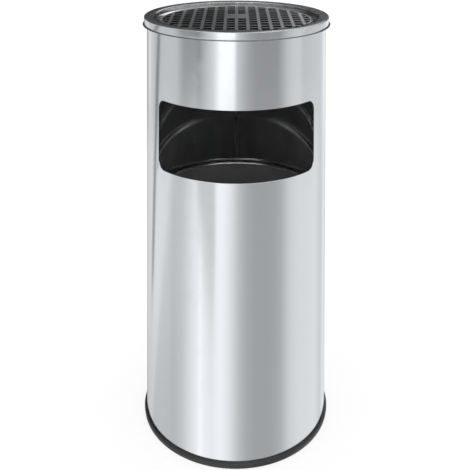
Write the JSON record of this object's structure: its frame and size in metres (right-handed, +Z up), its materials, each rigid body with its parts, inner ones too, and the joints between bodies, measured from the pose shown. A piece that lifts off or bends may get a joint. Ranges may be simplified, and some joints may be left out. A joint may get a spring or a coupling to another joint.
{
  "type": "ashtray bin",
  "caption": "Free-standing round steel litter bin with a front disposal window, a lift-out liner pail with bail handle, and a lift-off ashtray head with a slotted grille.",
  "frame": {"origin": "centre of the face the bin stands on, at floor level", "axes": "+Z up along the cylinder's axis; -Y is the front, where the disposal window is; +X is to the right seen from the front"},
  "size_m": [0.2724, 0.2724, 0.573],
  "materials": {
    "shell_steel": "bright brushed outside, smooth mill finish inside",
    "head_steel": "bright satin",
    "bowl_steel": "satin, sooty in the bowl",
    "grille_steel": "dark grey satin",
    "bright_wire": "bright",
    "black_edging": "black satin",
    "black_coat": "black gloss lacquer",
    "liner_steel": "grey satin",
    "rivet_metal": "bright"
  },
  "bodies": {
    "housing": {"outer_shell": "shell_steel", "seam_strip": "shell_steel", "top_hoop": "shell_steel", "floor_pan": "black_coat", "base_edging": "black_edging"},
    "ashtray_head": {"head_ring": "head_steel", "head_edging": "black_edging", "ash_bowl": "bowl_steel"},
    "grille": {"grille_edge_wire": "bright_wire", "grille_plate": "grille_steel"},
    "liner": {"liner_wall": "liner_steel", "liner_rim": "bright_wire", "liner_floor_disc": "liner_steel", "handle_ear_right": "liner_steel", "handle_ear_left": "liner_steel", "ear_rivets": "rivet_metal"},
    "bail": {"bail_handle": "bright_wire"}
  },
  "joints": [
    {"name": "head_lift", "type": "slide", "parent": "housing", "child": "ashtray_head", "axis": [0, 0, 1], "range_m": [0, 0.12]},
    {"name": "grille_lift", "type": "slide", "parent": "ashtray_head", "child": "grille", "axis": [0, 0, 1], "range_m": [0, 0.06]},
    {"name": "liner_lift", "type": "slide", "parent": "housing", "child": "liner", "axis": [0, 0, 1], "range_m": [0, 0.085]},
    {"name": "bail_swing", "type": "hinge", "parent": "liner", "child": "bail", "pos_m": [0, 0, 0.293], "axis": [-1, 0, 0], "range_deg": [0, 180]}
  ]
}
